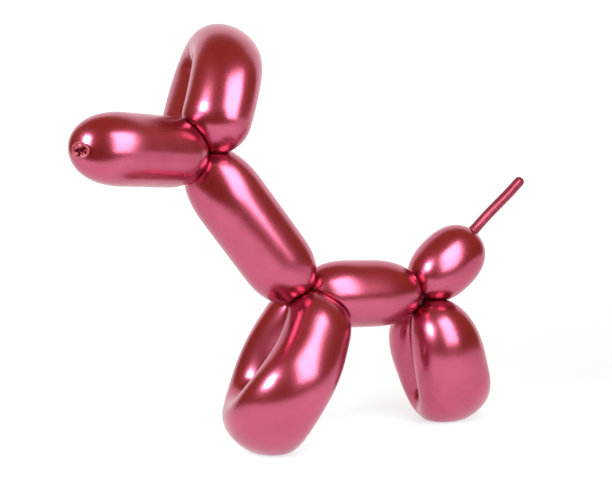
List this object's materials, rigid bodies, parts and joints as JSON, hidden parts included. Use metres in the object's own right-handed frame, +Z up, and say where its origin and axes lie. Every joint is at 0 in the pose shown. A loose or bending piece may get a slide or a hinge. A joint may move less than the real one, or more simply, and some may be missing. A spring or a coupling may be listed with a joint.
{
  "type": "balloon poodle figure",
  "caption": "Twisted modelling-balloon poodle in metallic pink latex, standing on two folded leg loops with a folded ear loop, turned snout and raised tail.",
  "frame": {"origin": "on the surface it stands on, under the middle of the figure's outline", "axes": "+X toward the tail, -X toward the snout, +Y toward the dog's right side, +Z up"},
  "size_m": [0.3494, 0.123, 0.285],
  "materials": {
    "latex": "metallic pink, smooth satin-gloss"
  },
  "bodies": {
    "root": {"balloon_poodle": "latex"}
  },
  "joints": []
}
